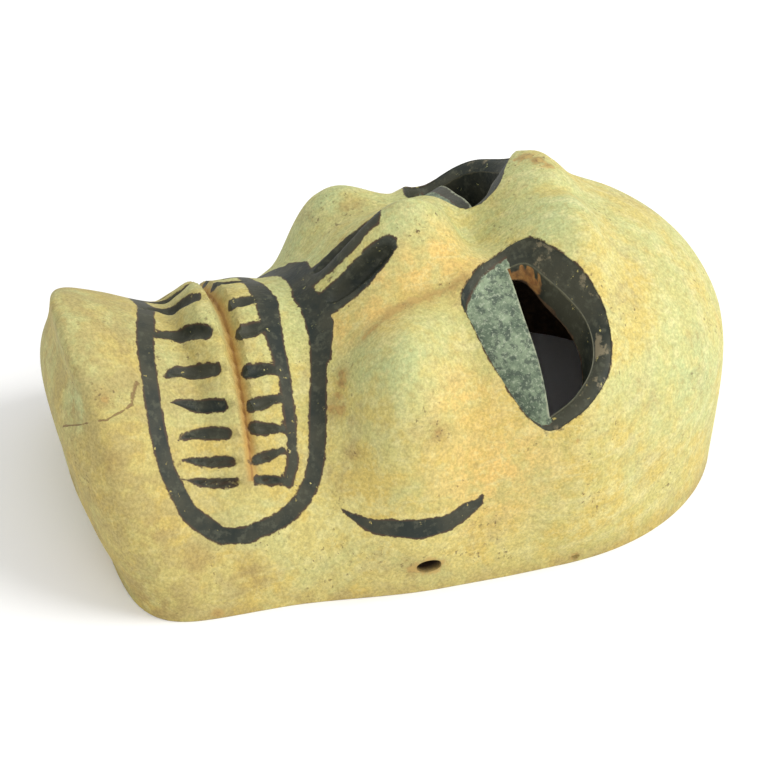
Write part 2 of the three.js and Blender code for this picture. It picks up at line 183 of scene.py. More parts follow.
# Wear, dirt and painted shade round the tie holes, staining, and the painted shade towards the chin
TIE_WEAR = Form(stretch=1.55, reach=3.9, region=9, outside=70, dirt=(0.6, 2.2))
RIM_STAIN = Form(strength=0.75, reach=7)
BITE_STAIN = Form(strength=0.8, reach=6.5)
FOLD_STAIN = Form(strength=0.75, reach=4)
# Painted shade: the paint gets darker towards the chin
CHIN_SHADE = Form(strength=0.72, starts=52, full=105)
FOLD_WEAR = Form(spread=0.8, strength=0.9)
FAR_SIDE_GREEN = Form(strength=0.6, fades=(0, 50))
BARE_REACH = Form(outside=3, strength=5)

# Brushed crescent under each cheekbone, as places in space with half the brush's width
CRESCENT = [
    (71.4, -34.7, 36.6, 0.3), (73.7, -31.7, 34.4, 1.2), (76, -27.7, 32.5, 2.2), (78.5, -23.9, 31.2, 2.9),
    (80.9, -19.7, 31.5, 3.5), (82.9, -14.5, 31.5, 3.6), (83.9, -9.1, 31, 4.2), (84.3, -3.5, 31.2, 3.9),
    (84.1, 2.2, 31.7, 3.6), (83.7, 6, 33.4, 3.4), (83.2, 9.9, 35.7, 3.2), (82.8, 13.9, 37.6, 2.2),
    (82.5, 15.6, 40, 0.4),
]

# Old damage on the left side, as places in space
CHIN_CRACK = [
    (26.3, -126.2, 59.8), (36.9, -120.9, 67.2), (42.9, -113.3, 72), (40.5, -107.1, 73), (38, -103.1, 73.4),
    (30.3, -99.4, 76.4),
]
# Places in space with their reach: rubbed down to the wood, stained, warm, speckled and greenish
RUBBED_SPOTS = [
    (-25, 63.5, 113, 5), (-19, 67, 114.3, 4.4), (-14, 70, 114.6, 3), (-12.6, -16, 94.5, 2.4),
    (-13, -11, 95.2, 2.4), (-13.2, -6, 96.3, 2.2), (37, -112.4, 76.9, 1.8), (74.6, 0.7, 66.4, 1.4),
    (83.4, 50.7, 59.4, 1), (14.3, -9.5, 96.3, 0.8), (77.2, -83.1, 2.2, 2.6), (49.5, -27.5, 66, 1.8),
    (47.4, -31.9, 63.6, 1.8), (82.6, 53, 2.4, 3.2), (83.8, -11.5, 12.2, 2.6), (40.5, -26, 73.6, 2.4),
    (43.3, -26.5, 71.4, 3), (45.5, -28.3, 67.9, 2.2), (49.8, -29, 64.3, 2.8),
]
STAINED_SPOTS = [
    (41.8, -25.7, 73.5, 4), (47.4, -31.9, 63.6, 5), (63.6, -27.4, 53.3, 4),
    (37, -112.4, 76.9, 9), (70.2, -105.6, 6.2, 26), (74.6, 0.7, 66.4, 5), (83.6, -12.6, 12.9, 6),
    (-38.1, -1.1, 93.3, 6), (27.6, -122.9, 68.9, 7), (52.4, -114.2, 60.9, 9), (67.5, -101.8, 38.1, 12),
    (71.7, -89.3, 24.5, 11), (75.2, -70.5, 15.7, 9), (67, -33.3, 44.4, 5),
]
WARM_SPOTS = [
    (21.7, -1.6, 97.4, 12), (22.2, 8, 100.6, 12), (17.3, 19.1, 104.9, 12), (25.3, 21.6, 101.2, 13),
    (29.4, -8.6, 90.7, 11), (25.1, -19.9, 84.8, 10), (70, 12, 74, 14), (80, 20, 50, 26),
]
SPECKLED_SPOTS = [
    (3.3, 19.1, 113, 5), (10.3, 10.5, 110.3, 5), (29, 16.9, 97.9, 4), (41.8, -25.7, 73.5, 6),
    (50.1, -25.7, 68.9, 5), (63.6, -27.4, 53.3, 5), (26.3, -38.1, 74.2, 5), (34.7, -111, 78.3, 6),
    (3, -123.8, 75.9, 5), (74.8, 1.9, 65.6, 4), (8.9, 4.7, 110.1, 4), (3, 43.9, 102, 5),
    (27.4, 38.9, 101.1, 4), (81.8, 64.1, 56.2, 3), (71.5, -62, 29, 7), (-20, 66, 114, 10),
]
# The fold between the nose and the near cheek
NOSE_FOLD = [
    (37.2, -17.1, 86.3), (36.1, -11.9, 89.1), (33.4, -6.3, 91), (31.9, -1.2, 92.8), (31.6, 5.4, 94.2),
    (31.1, 11.9, 95.5), (30.9, 18.4, 97.4), (30, 23.5, 99.6),
]
GREENED_SPOTS = [
    (-37.1, -20.7, 82.3, 34), (-40.6, -8, 91.6, 30), (1.4, 35.6, 96.5, 24), (58, -12, 88, 26),
    (31.1, -121.5, 71.3, 18), (-0.6, 4.6, 115.8, 20), (60.4, 103.2, 60.4, 30), (14.7, 63.6, 114.1, 24),
]

# Fineness of the meshes and working allowances
SKIN_SEGMENTS = (236, 300)
HOLLOW_SEGMENTS = (90, 120)
TRIAL_ROWS = 801
TRIAL_COLUMNS = (0.12, 0.3, 0.5)
ROWS_FOLLOW_BITE = Form(starts=-96, full=-68, fades=-56, ends=-10, across=(62, 78))
SLOWEST_ROWS = 20
PATH_POINTS = 9
BITE_POINTS = 61
STROKE_POINTS = 10
TIE_HOLE_TURNS = 40
TIE_HOLE_RINGS = 12
CROWDING = 0.4
SOCKET_TURNS = 96
HALVINGS = 26
NEAREST = 15.0
FARTHEST = 220.0
FAR_OFF = 1000.0
NEARBY = 20
SMALL_STEP = 0.01
OVERSHOOT = 5
LIFT = 30
MILLIMETRE = 0.001
SHARP_EDGE = 42
MERGED_WITHIN = 0.002
CAMERA = Form(turn=15.6, height=37.9, lens=118.3, sensor=36, shift=(-0.0064, 0.0918))


def smooth(value, start, end):
    share = np.clip((value - start) / (end - start), 0, 1)
    return share * share * (3 - 2 * share)


def bump(value, centre, spread):
    return np.exp(-(((value - centre) / spread) ** 2))


def growth(value, form):
    return smooth(value, form.starts, form.full)


def plateau(value, form):
    return growth(value, form) * (1 - smooth(value, form.fades, form.ends))


def length_of(vectors):
    return np.linalg.norm(vectors, axis=-1, keepdims=True)


def block_value(points):
    """Below 1 inside the rounded block, above 1 outside it."""
    x, y, z = points[:, 0], points[:, 1], points[:, 2]
    chin_raised = np.clip(z / CHIN_LEAN.height, 0, 1)
    chin_lean = CHIN_LEAN.by * np.sin(math.pi / 2 * chin_raised) ** CHIN_LEAN.steepness
    crown_lean = CROWN_LEAN.by * np.clip(z / CROWN_LEAN.height, 0, 1)
    along = y + (chin_lean - CHIN_LEAN.bow * x**2) * growth(y, CHIN_LEAN)
    along = along - crown_lean * growth(y, CROWN_LEAN)
    crown = np.sqrt(1 - np.clip((along - CROWN.starts) / CROWN.length, 0, 1) ** 2)
    reach = np.clip((JAW.starts - along) / JAW.length, 0, 1)
    jaw = (1 - reach ** JAW.squareness) ** (1 / JAW.squareness)
    closing = np.maximum(crown * jaw, THINNEST)
    widening = CHEEK_WIDENING.by * growth(along, CHEEK_WIDENING)
    widening -= TEMPLE_NARROWING.by * growth(along, TEMPLE_NARROWING)
    half_width = (JAW.half_width + widening) * closing
    upright = UPRIGHT_WALL.height * growth(along, UPRIGHT_WALL)
    height = JAW.height + FOREHEAD.extra_height * growth(along, FOREHEAD)
    above = z - upright
    rise = (above + np.hypot(above, UPRIGHT_WALL.rounding)) / 2
    side = (np.abs(x) / half_width) ** SIDE_ROUNDNESS
    return side + (rise / ((height - upright) * closing)) ** TOP_ROUNDNESS


def edge_of(low, high, inside):
    """Halves the way from inside to outside until it is at the edge."""
    for _ in range(HALVINGS):
        middle = (low + high) / 2
        within = inside(middle)
        low = np.where(within, middle, low)
        high = np.where(within, high, middle)
    return low


def block_point(directions):
    def inside(way):
        return block_value(directions * way)[:, None] < 1

    return directions * edge_of(NEAREST, FARTHEST, inside)


def mound(across, along, form, height):
    """A soft mound at a form's place."""
    height = height * bump(across, form.across, form.spread)
    return height * bump(along, form.along, form.length)


def carving(points):
    """How far the carving stands above the rounded block."""
    across, along = np.abs(points[:, 0]), points[:, 1]
    ridge = np.exp(-((across / NOSE.half_width) ** NOSE.sharpness))
    rise = CHEEK.rise * bump(across, CHEEK.across, CHEEK.spread) * plateau(along, CHEEK)
    rise += NOSE.rise * plateau(along, NOSE) * ridge
    rise += MOUTH_KEEL.rise * bump(across, 0, MOUTH_KEEL.spread) * plateau(along, MOUTH_KEEL)
    for form in (BROW, SOCKET_RIM, CHIN, LOWER_LIP, UPPER_LIP):
        rise += mound(across, along, form, form.rise)
    for form in (CHEEK_HOLLOW, NOSE_ROOT, NOSE_CREASE, CHIN_NECK):
        rise -= mound(across, along, form, form.depth)
    return rise * smooth(points[:, 2], 0, RIM_BLEND)


def face_point(directions):
    """Points of the carved face in directions from the middle of the rim."""
    base = block_point(directions)
    return base + directions * carving(base)[:, None]


def hollow_point(directions):
    """The hollow keeps its distance where the face is sunk below the rounded block."""
    base = block_point(directions)
    sunk = np.minimum(carving(base), 0)
    wall = RIM_WALL + (FACE_WALL - RIM_WALL) * smooth(base[:, 2], 0, JAW.height)
    return base + directions * (sunk - wall)[:, None]


def face_above(places):
    """Points of the carved face straight above places seen from the front."""
    def inside(height):
        probes = np.column_stack([places, np.broadcast_to(height, len(places))])
        distance = length_of(probes)
        return (distance < length_of(face_point(probes / distance)))[:, 0]

    return np.column_stack([places, edge_of(0, FARTHEST, inside)])


def sheet_direction(sheet):
    """A square sheet becomes a dome whose four sides meet the rim."""
    u, v = (sheet - CROWDING * np.sin(math.pi * sheet) / math.pi).T
    x = u * np.sqrt(1 - v**2 / 2)
    y = v * np.sqrt(1 - u**2 / 2)
    tilt = np.minimum(np.hypot(x, y), 1) * math.pi / 2
    turn = np.arctan2(y, x)
    rounded = np.column_stack([np.sin(tilt) * np.cos(turn), np.sin(tilt) * np.sin(turn), np.cos(tilt)])
    directions = rounded * DOME
    directions[directions[:, 2] < SMALL_STEP, 2] = 0
    return directions / length_of(directions)


def evened(sheet):
    """Shifts the sheet's rows until they lie about evenly along the carved face."""
    rows = np.linspace(-1, 1, TRIAL_ROWS)
    travelled = np.zeros(TRIAL_ROWS)
    for across in TRIAL_COLUMNS:
        path = face_point(sheet_direction(np.column_stack([np.full(TRIAL_ROWS, across), rows])))
        travelled[1:] += np.cumsum(length_of(np.diff(path, axis=0)))
    shifted = np.interp(sheet[:, 1], travelled / travelled[-1] * 2 - 1, rows)
    return np.column_stack([sheet[:, 0], shifted])


def along_bite(sheet):
    """Bends the sheet's rows near the mouth until they run as the bite does."""
    inward = np.where(sheet[:, 1:] > 0, -SMALL_STEP, SMALL_STEP)
    points = face_point(sheet_direction(sheet))
    beyond = face_point(sheet_direction(sheet + inward * [0, 1]))
    pace = (beyond[:, 1] - points[:, 1]) / inward[:, 0]
    across, along = np.abs(points[:, 0]), points[:, 1]
    strength = plateau(along, ROWS_FOLLOW_BITE) * (1 - smooth(across, *ROWS_FOLLOW_BITE.across))
    drop = BITE.bend * np.minimum(across, BITE.reach) ** 2 * strength
    return np.column_stack([sheet[:, 0], sheet[:, 1] - drop / np.maximum(pace, SLOWEST_ROWS)])


def beside_leg(points, start, leg):
    """The share of a straight leg nearest to each point, and the way from there to the point."""
    t = np.clip((points - start) @ leg / (leg @ leg), 0, 1)
    return t, points - start - t[:, None] * leg


def nearest(points, path):
    """Distance from each point to a path, the share of the path where it is nearest, and the
    distance sideways from the path, which is negative on its other side."""
    found = np.tile([FAR_OFF, 0, FAR_OFF], (len(points), 1))
    near = np.all((points > path.min(axis=0) - NEARBY) & (points < path.max(axis=0) + NEARBY), axis=1)
    points = points[near]
    distance, share, aside = found[near].T
    for step, (start, end) in enumerate(zip(path[:-1], path[1:])):
        leg = end - start
        t, away = beside_leg(points, start, leg)
        gap = length_of(away)[:, 0]
        closer = gap < distance
        distance[closer] = gap[closer]
        share[closer] = (step + t[closer]) / (len(path) - 1)
        sideways = np.cross(start, leg)
        aside[closer] = (away @ sideways)[closer] / np.linalg.norm(sideways)
    found[near] = np.column_stack([distance, share, aside])
    return found.T


def bell(reach):
    """1 at the middle of a cut and 0 past its edge, with both edges rounded."""
    return np.where(reach < 1, (1 + np.cos(math.pi * np.minimum(reach, 1))) / 2, 0)


def bite_path():
    across = np.linspace(-BITE.reach, BITE.reach, BITE_POINTS)
    return face_above(np.column_stack([across, BITE.along - BITE.bend * across**2]))


def gap_path(row, index):
    starts, ends = row.starts[index], row.ends[index]
    bend = BITE.bend * starts**2
    near, far = row.near - bend * row.near_bend, row.far - bend * row.far_bend
    t = np.linspace(0, 1, PATH_POINTS)
    across = starts + (ends - starts) * t + row.bows[index] * np.sin(math.pi * t**BOW_SKEW)
    return face_above(np.column_stack([across, near + (far - near) * t]))


def tapered(share, form):
    """How full a groove or a stroke is along its length."""
    return form.tip + (1 - form.tip) * np.sin(math.pi * share**form.skew) ** form.fullness


def on_side(flat, side):
    return flat * [side, 1] + [OFFSET, 0]


def nostril_path(side):
    t = np.linspace(0, 1, PATH_POINTS)[:, None]
    places = np.array(NOSTRIL.top) * (1 - t) + np.array(NOSTRIL.bottom) * t
    return face_above(on_side(places, side))


tooth_gaps = []
for row in (LOWER_GAPS, UPPER_GAPS):
    for index, across in enumerate(row.starts):
        width = WIDEST_GAP + (NARROWEST_GAP - WIDEST_GAP) * (across / BITE.reach) ** 2
        tooth_gaps.append((gap_path(row, index), width, row))
bite = bite_path()
nostrils = [nostril_path(side) for side in (-1, 1)]


def bite_depth(points):
    distance, share, _ = nearest(points, bite)
    full = np.sin(math.pi * share) ** BITE.fullness
    half = (BITE_END.width + (BITE_MIDDLE.width - BITE_END.width) * full) / 2
    path_along = BITE.along - BITE.bend * points[:, 0] ** 2
    side = np.where(points[:, 1] < path_along, BITE_CUT.chin_side, BITE_CUT.crown_side)
    half = np.maximum(half * side, BITE_CUT.least_reach)
    depth = BITE_END.depth + (BITE_MIDDLE.depth - BITE_END.depth) * full
    depth *= bell(distance / half)
    depth *= smooth(share, 0, BITE_CUT.fades) * (1 - smooth(share, 1 - BITE_CUT.fades, 1))
    return depth


def groove_depth(points, path, width, form):
    distance, share, _ = nearest(points, path)
    full = tapered(share, form)
    return form.depth * full * bell(distance / (width * full * form.reach)) ** form.roundness


def cut_depth(points):
    """How deep the bite, the gaps between the teeth and the nostrils are cut."""
    depth = bite_depth(points)
    for path, width, _ in tooth_gaps:
        depth = np.maximum(depth, groove_depth(points, path, width, GAP))
    for path in nostrils:
        depth = np.maximum(depth, groove_depth(points, path, NOSTRIL.width, NOSTRIL))
    return depth


def unevenness(points, size, seed, waves=10):
    """Soft unevenness between about -1 and 1 whose bumps are about the given size across."""
    random = np.random.default_rng(seed)
    total = np.zeros(len(points))
    for _ in range(waves):
        direction = random.normal(size=3)
        direction *= math.pi / size * random.uniform(0.6, 1.4) / np.linalg.norm(direction)
        total += np.sin(points @ direction + random.uniform(0, 2 * math.pi))
    return total / math.sqrt(waves)


def tool_rings(points):
    """Faint rings between -1 and 1 round the near eye, as the knife and the brush went round it. They are
    carved as low relief, and the paint follows them with painted light on their crests and painted shade in
    their troughs.
    """
    wander, size, seed = TOOL_RINGS.wander
    from_eye = length_of(points - TOOL_RINGS.middle)[:, 0] + wander * unevenness(points, size, seed)
    shown = plateau(from_eye, TOOL_RINGS)
    shown = shown * smooth(points[:, 1], *TOOL_RINGS.crownward)
    unevenly_spaced = from_eye + TOOL_RINGS.spread * np.sin(from_eye / TOOL_RINGS.spread_length)
    return np.sin(unevenly_spaced * 2 * math.pi / TOOL_RINGS.spacing) * shown


def skin(sheet):
    """The carved outside: its forms, its cuts and the unevenness that the knife left."""
    sheet = along_bite(evened(sheet))
    points = face_point(sheet_direction(sheet))
    inward = np.where(sheet > 0, -SMALL_STEP, SMALL_STEP)
    beside = face_point(sheet_direction(sheet + inward * [1, 0])) - points
    beyond = face_point(sheet_direction(sheet + inward * [0, 1])) - points
    normals = np.cross(beside * np.sign(inward[:, :1]), beyond * np.sign(inward[:, 1:]))
    normals /= length_of(normals)
    hand_cut = sum(height * unevenness(points, size, seed) for height, size, seed in HAND_CUT)
    hand_cut += TOOL_RINGS.height * tool_rings(points)
    hand_cut *= smooth(points[:, 2], 0, HAND_CUT_STARTS)
    return points + normals * (hand_cut - cut_depth(points))[:, None]


def hollow(sheet):
    points = hollow_point(sheet_direction(sheet))
    gouging = GOUGING.height * unevenness(points * [1, 0.5, 1], GOUGING.size, GOUGING.seed)
    gouging = gouging * growth(points[:, 2], GOUGING)
    points += points / length_of(points) * gouging[:, None]
    points[points[:, 2] < SMALL_STEP, 2] = -OVERSHOOT
    return points


def places_of(bm):
    return np.array([vert.co[:] for vert in bm.verts])


def set_places(bm, places):
    for vert, place in zip(bm.verts, places):
        vert.co = place


def placed(name, data):
    item = bpy.data.objects.new(name, data)
    bpy.context.scene.collection.objects.link(item)
    return item


def finished_mesh(bm, name):
    bmesh.ops.recalc_face_normals(bm, faces=bm.faces)
    if bm.calc_volume(signed=True) < 0:
        bmesh.ops.reverse_faces(bm, faces=bm.faces)
    mesh = bpy.data.meshes.new(name)
    bm.to_mesh(mesh)
    bm.free()
    return placed(name, mesh)


def closed_dome(name, segments, surface):
    bm = bmesh.new()
    bmesh.ops.create_grid(bm, x_segments=segments[0], y_segments=segments[1], size=1)
    set_places(bm, surface(places_of(bm)[:, :2]))
    bmesh.ops.edgeloop_fill(bm, edges=[edge for edge in bm.edges if edge.is_boundary])
    return finished_mesh(bm, name)


def unit_tube(around, rings):
    """A closed tube one unit in radius, with its rings one unit apart."""
    bm = bmesh.new()
    bmesh.ops.create_circle(bm, segments=around, radius=1)
    edges = list(bm.edges)
    bmesh.ops.edgeloop_fill(bm, edges=edges)
    for _ in range(rings - 1):
        made = bmesh.ops.extrude_edge_only(bm, edges=edges)["geom"]
        verts = {item for item in made if isinstance(item, bmesh.types.BMVert)}
        edges = [item for item in made if isinstance(item, bmesh.types.BMEdge) and set(item.verts) <= verts]
        bmesh.ops.translate(bm, verts=list(verts), vec=(0, 0, 1))
    bmesh.ops.edgeloop_fill(bm, edges=edges)
    return bm


def curve_point(knots, share):
    """A point of a smooth curve through evenly counted knots."""
    knots = np.array(knots, float)
    place = share * (len(knots) - 1)
    index = min(int(place), len(knots) - 2)
    t = place - index
    before = knots[max(index - 1, 0)]
    start, end = knots[index], knots[index + 1]
    after = knots[min(index + 2, len(knots) - 1)]
    leave, arrive = (end - before) / 2, (after - start) / 2
    return (
        (2 * start - 2 * end + leave + arrive) * t**3
        + (3 * end - 3 * start - 2 * leave - arrive) * t**2
        + leave * t
        + start
    )


def socket_outline(turn):
    if turn < 0.5:
        return curve_point(SOCKET_CROWN_SIDE, turn * 2)
    return curve_point(SOCKET_CHIN_SIDE, turn * 2 - 1)


def opening_outline(turn):
    """The same crown side, closed by a straight edge."""
    if turn < 0.5:
        return socket_outline(turn)
    start, end = np.array(SOCKET_CROWN_SIDE[-1]), np.array(SOCKET_CROWN_SIDE[0])
    return start + (end - start) * (turn * 2 - 1)


def flat_outline(outline, narrowing, count=SOCKET_TURNS):
    flat = np.array([outline(step / count) for step in range(count)])
    return (flat - SOCKET_FOCUS) * narrowing + SOCKET_FOCUS


def floor_depth(flat):
    """Depth of the socket's floor, which is shallower beside the nose."""
    deeper = SOCKET_DEPTH.outside - SOCKET_DEPTH.by_nose
    return SOCKET_DEPTH.by_nose + deeper * growth(flat[:, 0], SOCKET_DEPTH)


def shaft(name, side, outline, rings):
    """A tube that follows the face. A ring is its depth below the face, in floor depths and in
    millimetres, and its narrowing."""
    bm = unit_tube(SOCKET_TURNS, len(rings))
    unit = places_of(bm)
    ring = np.round(unit[:, 2]).astype(int)
    turn = np.arctan2(unit[:, 1], unit[:, 0]) / (2 * math.pi)
    turn = np.round(turn * SOCKET_TURNS).astype(int) % SOCKET_TURNS
    flat = np.array([flat_outline(outline, narrowing) for _, _, narrowing in rings])[ring, turn]
    floors, lengths = np.array([item[:2] for item in rings])[ring].T
    points = face_above(on_side(flat, side))
    points[:, 2] -= floors * floor_depth(flat) + lengths
    set_places(bm, points)
    return finished_mesh(bm, name)


def socket_cutter(side):
    rings = [(0, -LIFT, 1.02), (0, -0.4, 1.018), (0, 0.5, 1.008), (0, 1.2, 1.0)]
    for share in np.linspace(0.125, 1, 8):
        rings.append((share, 1.2 * (1 - share), 1 + (SOCKET_NARROWING - 1) * share**0.9))
    for narrowing in SOCKET_FLOOR_RINGS:
        rings.append((1, 0.12, narrowing))
    return shaft("socket_cutter", side, socket_outline, rings)


def opening_cutter(side):
    rings = [(0, -LIFT, OPENING_NARROWING + 0.006), (1, -0.3, OPENING_NARROWING + 0.004)]
    rings.append((1, 0.8, OPENING_NARROWING))
    for share in np.linspace(0.15, 1, 9):
        narrowing = OPENING_NARROWING + (OPENING_FOOT_NARROWING - OPENING_NARROWING) * share
        rings.append((1 - share, share * OPENING_DEPTH, narrowing))
    return shaft("opening_cutter", side, opening_outline, rings)


def tie_hole_cutter(side):
    bm = unit_tube(TIE_HOLE_TURNS, TIE_HOLE_RINGS)
    unit = places_of(bm)
    run = unit[:, 2] / (TIE_HOLE_RINGS - 1)
    reach = 1 + 0.06 * np.sin(9 * run) + 0.05 * unevenness(unit * [3, 3, 1], 2.4, 11)
    places = np.column_stack([
        side * (TIE_HOLE.inner + (TIE_HOLE.outer - TIE_HOLE.inner) * run),
        TIE_HOLE.along + unit[:, 0] * TIE_HOLE.half_length * reach,
        TIE_HOLE.height + unit[:, 1] * TIE_HOLE.half_height * reach,
    ])
    set_places(bm, places)
    return finished_mesh(bm, "tie_hole_cutter")


def nick_cutter():
    bm = bmesh.new()
    bmesh.ops.create_icosphere(bm, subdivisions=3, radius=1)
    unit = places_of(bm)
    strength, size, seed = NICK.unevenness
    places = unit * NICK.size * (1 + strength * unevenness(unit, size, seed))[:, None]
    set_places(bm, places + NICK.place)
    return finished_mesh(bm, "nick_cutter")


def cut_away(piece, cutters):
    for cutter in cutters:
        cut = piece.modifiers.new("cut", "BOOLEAN")
        cut.operation = "DIFFERENCE"
        cut.solver = "MANIFOLD"
        cut.object = cutter
    bpy.context.view_layer.update()
    evaluated = piece.evaluated_get(bpy.context.evaluated_depsgraph_get())
    mesh = bpy.data.meshes.new_from_object(evaluated)
    piece.modifiers.clear()
    piece.data = mesh
    for cutter in cutters:
        bpy.data.objects.remove(cutter)


def outside_outline(places, outline):
    """Distance outside a closed outline, negative inside it."""
    distance = np.full(len(places), FAR_OFF)
    inside = np.zeros(len(places), bool)
    for start, end in zip(outline, np.roll(outline, -1, axis=0)):
        leg = end - start
        distance = np.minimum(distance, length_of(beside_leg(places, start, leg)[1])[:, 0])
        crosses = (start[1] > places[:, 1]) != (end[1] > places[:, 1])
        rise = leg[1] if abs(leg[1]) > 1e-9 else 1e-9
        inside ^= crosses & (places[:, 0] < start[0] + (places[:, 1] - start[1]) * leg[0] / rise)
    return np.where(inside, -distance, distance)


def read_at(share, measures):
    return np.interp(share, np.linspace(0, 1, len(measures)), measures)


def brushed_path(places, side):
    """A brushed line on the face, with half its width at each place."""
    share = np.linspace(0, 1, 6 * len(places))
    across, along, widths = (read_at(share, measures) for measures in zip(*places))
    return face_above(np.column_stack([across * side, along])), widths


def tooth_stroke(path, width, row):
    """The brushed stroke over a gap between the teeth. A longer one runs on straight."""
    starts = row.stroke_starts
    if starts < 0:
        starts *= min(1, (width - NARROWEST_GAP) * LENGTHENED_WITH_WIDTH)
    run = np.linspace(starts, 1, STROKE_POINTS)
    stroke = np.array([curve_point(path, max(share, 0)) for share in run])
    stroke += np.minimum(run, 0)[:, None] * (path[-1] - path[0])
    share = np.linspace(*row.stroke_stretch, STROKE_POINTS)
    return stroke, width / 2 * tapered(share, STROKE)


def brushed_lines():
    for places in (NEAR_NOSTRIL_PAINT, FAR_NOSTRIL_PAINT):
        path, widths = brushed_path(places, 1)
        yield path - [0, 0, NOSTRIL.depth / 2], widths
    yield brushed_path(MOUTH_RING, 1)
    far_ring = np.array(MOUTH_RING)
    chin_side = far_ring[:, 1] < BITE.along
    far_ring[chin_side, 1] += FAR_RING_SHIFT.by * plateau(far_ring[chin_side, 0], FAR_RING_SHIFT)
    yield brushed_path(far_ring, -1)
    for side in (-1, 1):
        for places in (GUM_LINE, NOSTRIL_BASE):
            yield brushed_path(places, side)
        crescent = np.array(CRESCENT, float)
        yield crescent[:, :3] * [side, 1, 1], crescent[:, 3]
    for path, width, row in tooth_gaps:
        yield tooth_stroke(path, width, row)


def brushwork(points):
    """Distance outside the brushed lines, with the distance sideways from the nearest one's
    middle and half its width."""
    outside, sideways = np.full((2, len(points)), FAR_OFF)
    half_width = np.zeros(len(points))
    for path, widths in brushed_lines():
        distance, share, aside = nearest(points, path)
        half = read_at(share, widths)
        closer = distance - half < outside
        outside[closer] = (distance - half)[closer]
        sideways[closer] = aside[closer]
        half_width[closer] = half[closer]
    return {"line_outside": outside, "line_sideways": sideways, "line_half_width": half_width}


SOCKET_EDGES = (
    (socket_outline, 1), (socket_outline, SOCKET_NARROWING), (opening_outline, OPENING_NARROWING),
)


def by_an_eye(points):
    mirrored = np.column_stack([np.abs(points[:, 0]), points[:, 1:]])
    low, high = EYE_REGION
    return np.all((mirrored > low) & (mirrored < high), axis=1)


def socket_paint(points):
    """The eye sockets' paint: black and grey as distances that are negative inside them, the
    ledge and edge where it has worn and gets a painted highlight, the bare wood in the opening's
    end by the nose, and the sloping wall on the crown's side."""
    eyes = by_an_eye(points)
    depth_below = np.zeros(len(points))
    depth_below[eyes] = face_above(points[eyes, :2])[:, 2] - points[eyes, 2]
    black, grey, worn_edge_and_highlight = np.full((3, len(points)), FAR_OFF)
    shaft_wood, bevel = np.zeros((2, len(points)))
    paint = SOCKET_PAINT
    for side in (-1, 1):
        flat = (points[:, :2] - [OFFSET, 0]) * [side, 1]
        rim, floor_edge, opening = (outside_outline(flat, flat_outline(*edge)) for edge in SOCKET_EDGES)
        floor = floor_depth(flat)
        near = (rim < paint.reach) & (points[:, 2] > paint.lowest)
        surface = near & (depth_below < paint.surface)
        black[surface] = (rim - paint.over_rim)[surface]
        sunk = near & (depth_below >= paint.surface) & (rim < paint.inside)
        crown_side = smooth(flat[:, 1], *paint.crown_side)
        black[sunk] = (-paint.into_floor - rim - paint.far_into_black * crown_side)[sunk]
        grey[sunk] = (paint.grey_floor + paint.grey_off * crown_side)[sunk]
        bevel[sunk] = (crown_side * (floor_edge > paint.inside))[sunk]
        if side < 0:
            black[sunk] = np.minimum(black, paint.grey_ends_far - flat[:, 1])[sunk]
        below = sunk & (depth_below > floor + paint.below_floor)
        black[below] = -paint.full_black
        grey[below] = paint.full_black
        bevel[below] = 0
        shaft_wood[below] = (1 - smooth(flat[:, 0], *paint.wood_fades))[below]
        # Where the edge has worn, with a painted highlight along it
        on_edge = near & (floor_edge < paint.edge_reach)
        worn_edge_and_highlight[on_edge] = (np.abs(opening) + np.abs(depth_below - floor))[on_edge]
    return {
        "socket_black": black, "grey_paint": grey, "worn_edge_and_highlight": worn_edge_and_highlight,
        "shaft_wood": shaft_wood, "bevel": bevel,
    }


def spots(points, places):
    """1 at the middle of the nearest spot, fading away past its reach."""
    strength = np.zeros(len(points))
    for x, y, z, reach in places:
        distance = length_of(points - [x, y, z])[:, 0]
        strength = np.maximum(strength, bump(distance, 0, reach))
    return strength


def fading(distance, stain_and_shade):
    return stain_and_shade.strength * bump(distance, 0, stain_and_shade.reach)


def stained_and_shaded(points, bite_distance, fold_distance):
    """Old dirt in spots, along the rim, the bite and the fold, and painted shade that darkens towards the
    chin.
    """
    return np.max([
        spots(points, STAINED_SPOTS),
        fading(np.maximum(points[:, 2], 0), RIM_STAIN),
        fading(bite_distance, BITE_STAIN),
        fading(fold_distance, FOLD_STAIN),
        # Painted shade: darker towards the chin
        CHIN_SHADE.strength * growth(-points[:, 1], CHIN_SHADE),
    ], axis=0)


def tie_hole_wear(points, directions):
    """Distance outside the worn wood round each tie hole, and the dirt and painted shade in the hole."""
    away = np.hypot((points[:, 1] - TIE_HOLE.along) / TIE_WEAR.stretch, points[:, 2] - TIE_HOLE.height)
    by_hole = (np.abs(points[:, 0]) > TIE_WEAR.outside) & (away < TIE_WEAR.region)
    worn = np.where(by_hole, away - TIE_WEAR.reach, FAR_OFF)
    sunk = (length_of(face_point(directions[by_hole])) - length_of(points[by_hole]))[:, 0]
    # Near-black dirt and painted shade on the walls inside each tie hole
    dirt = np.zeros(len(points))
    dirt[by_hole] = smooth(sunk, *TIE_WEAR.dirt) * (worn[by_hole] < 1)
    return worn, dirt


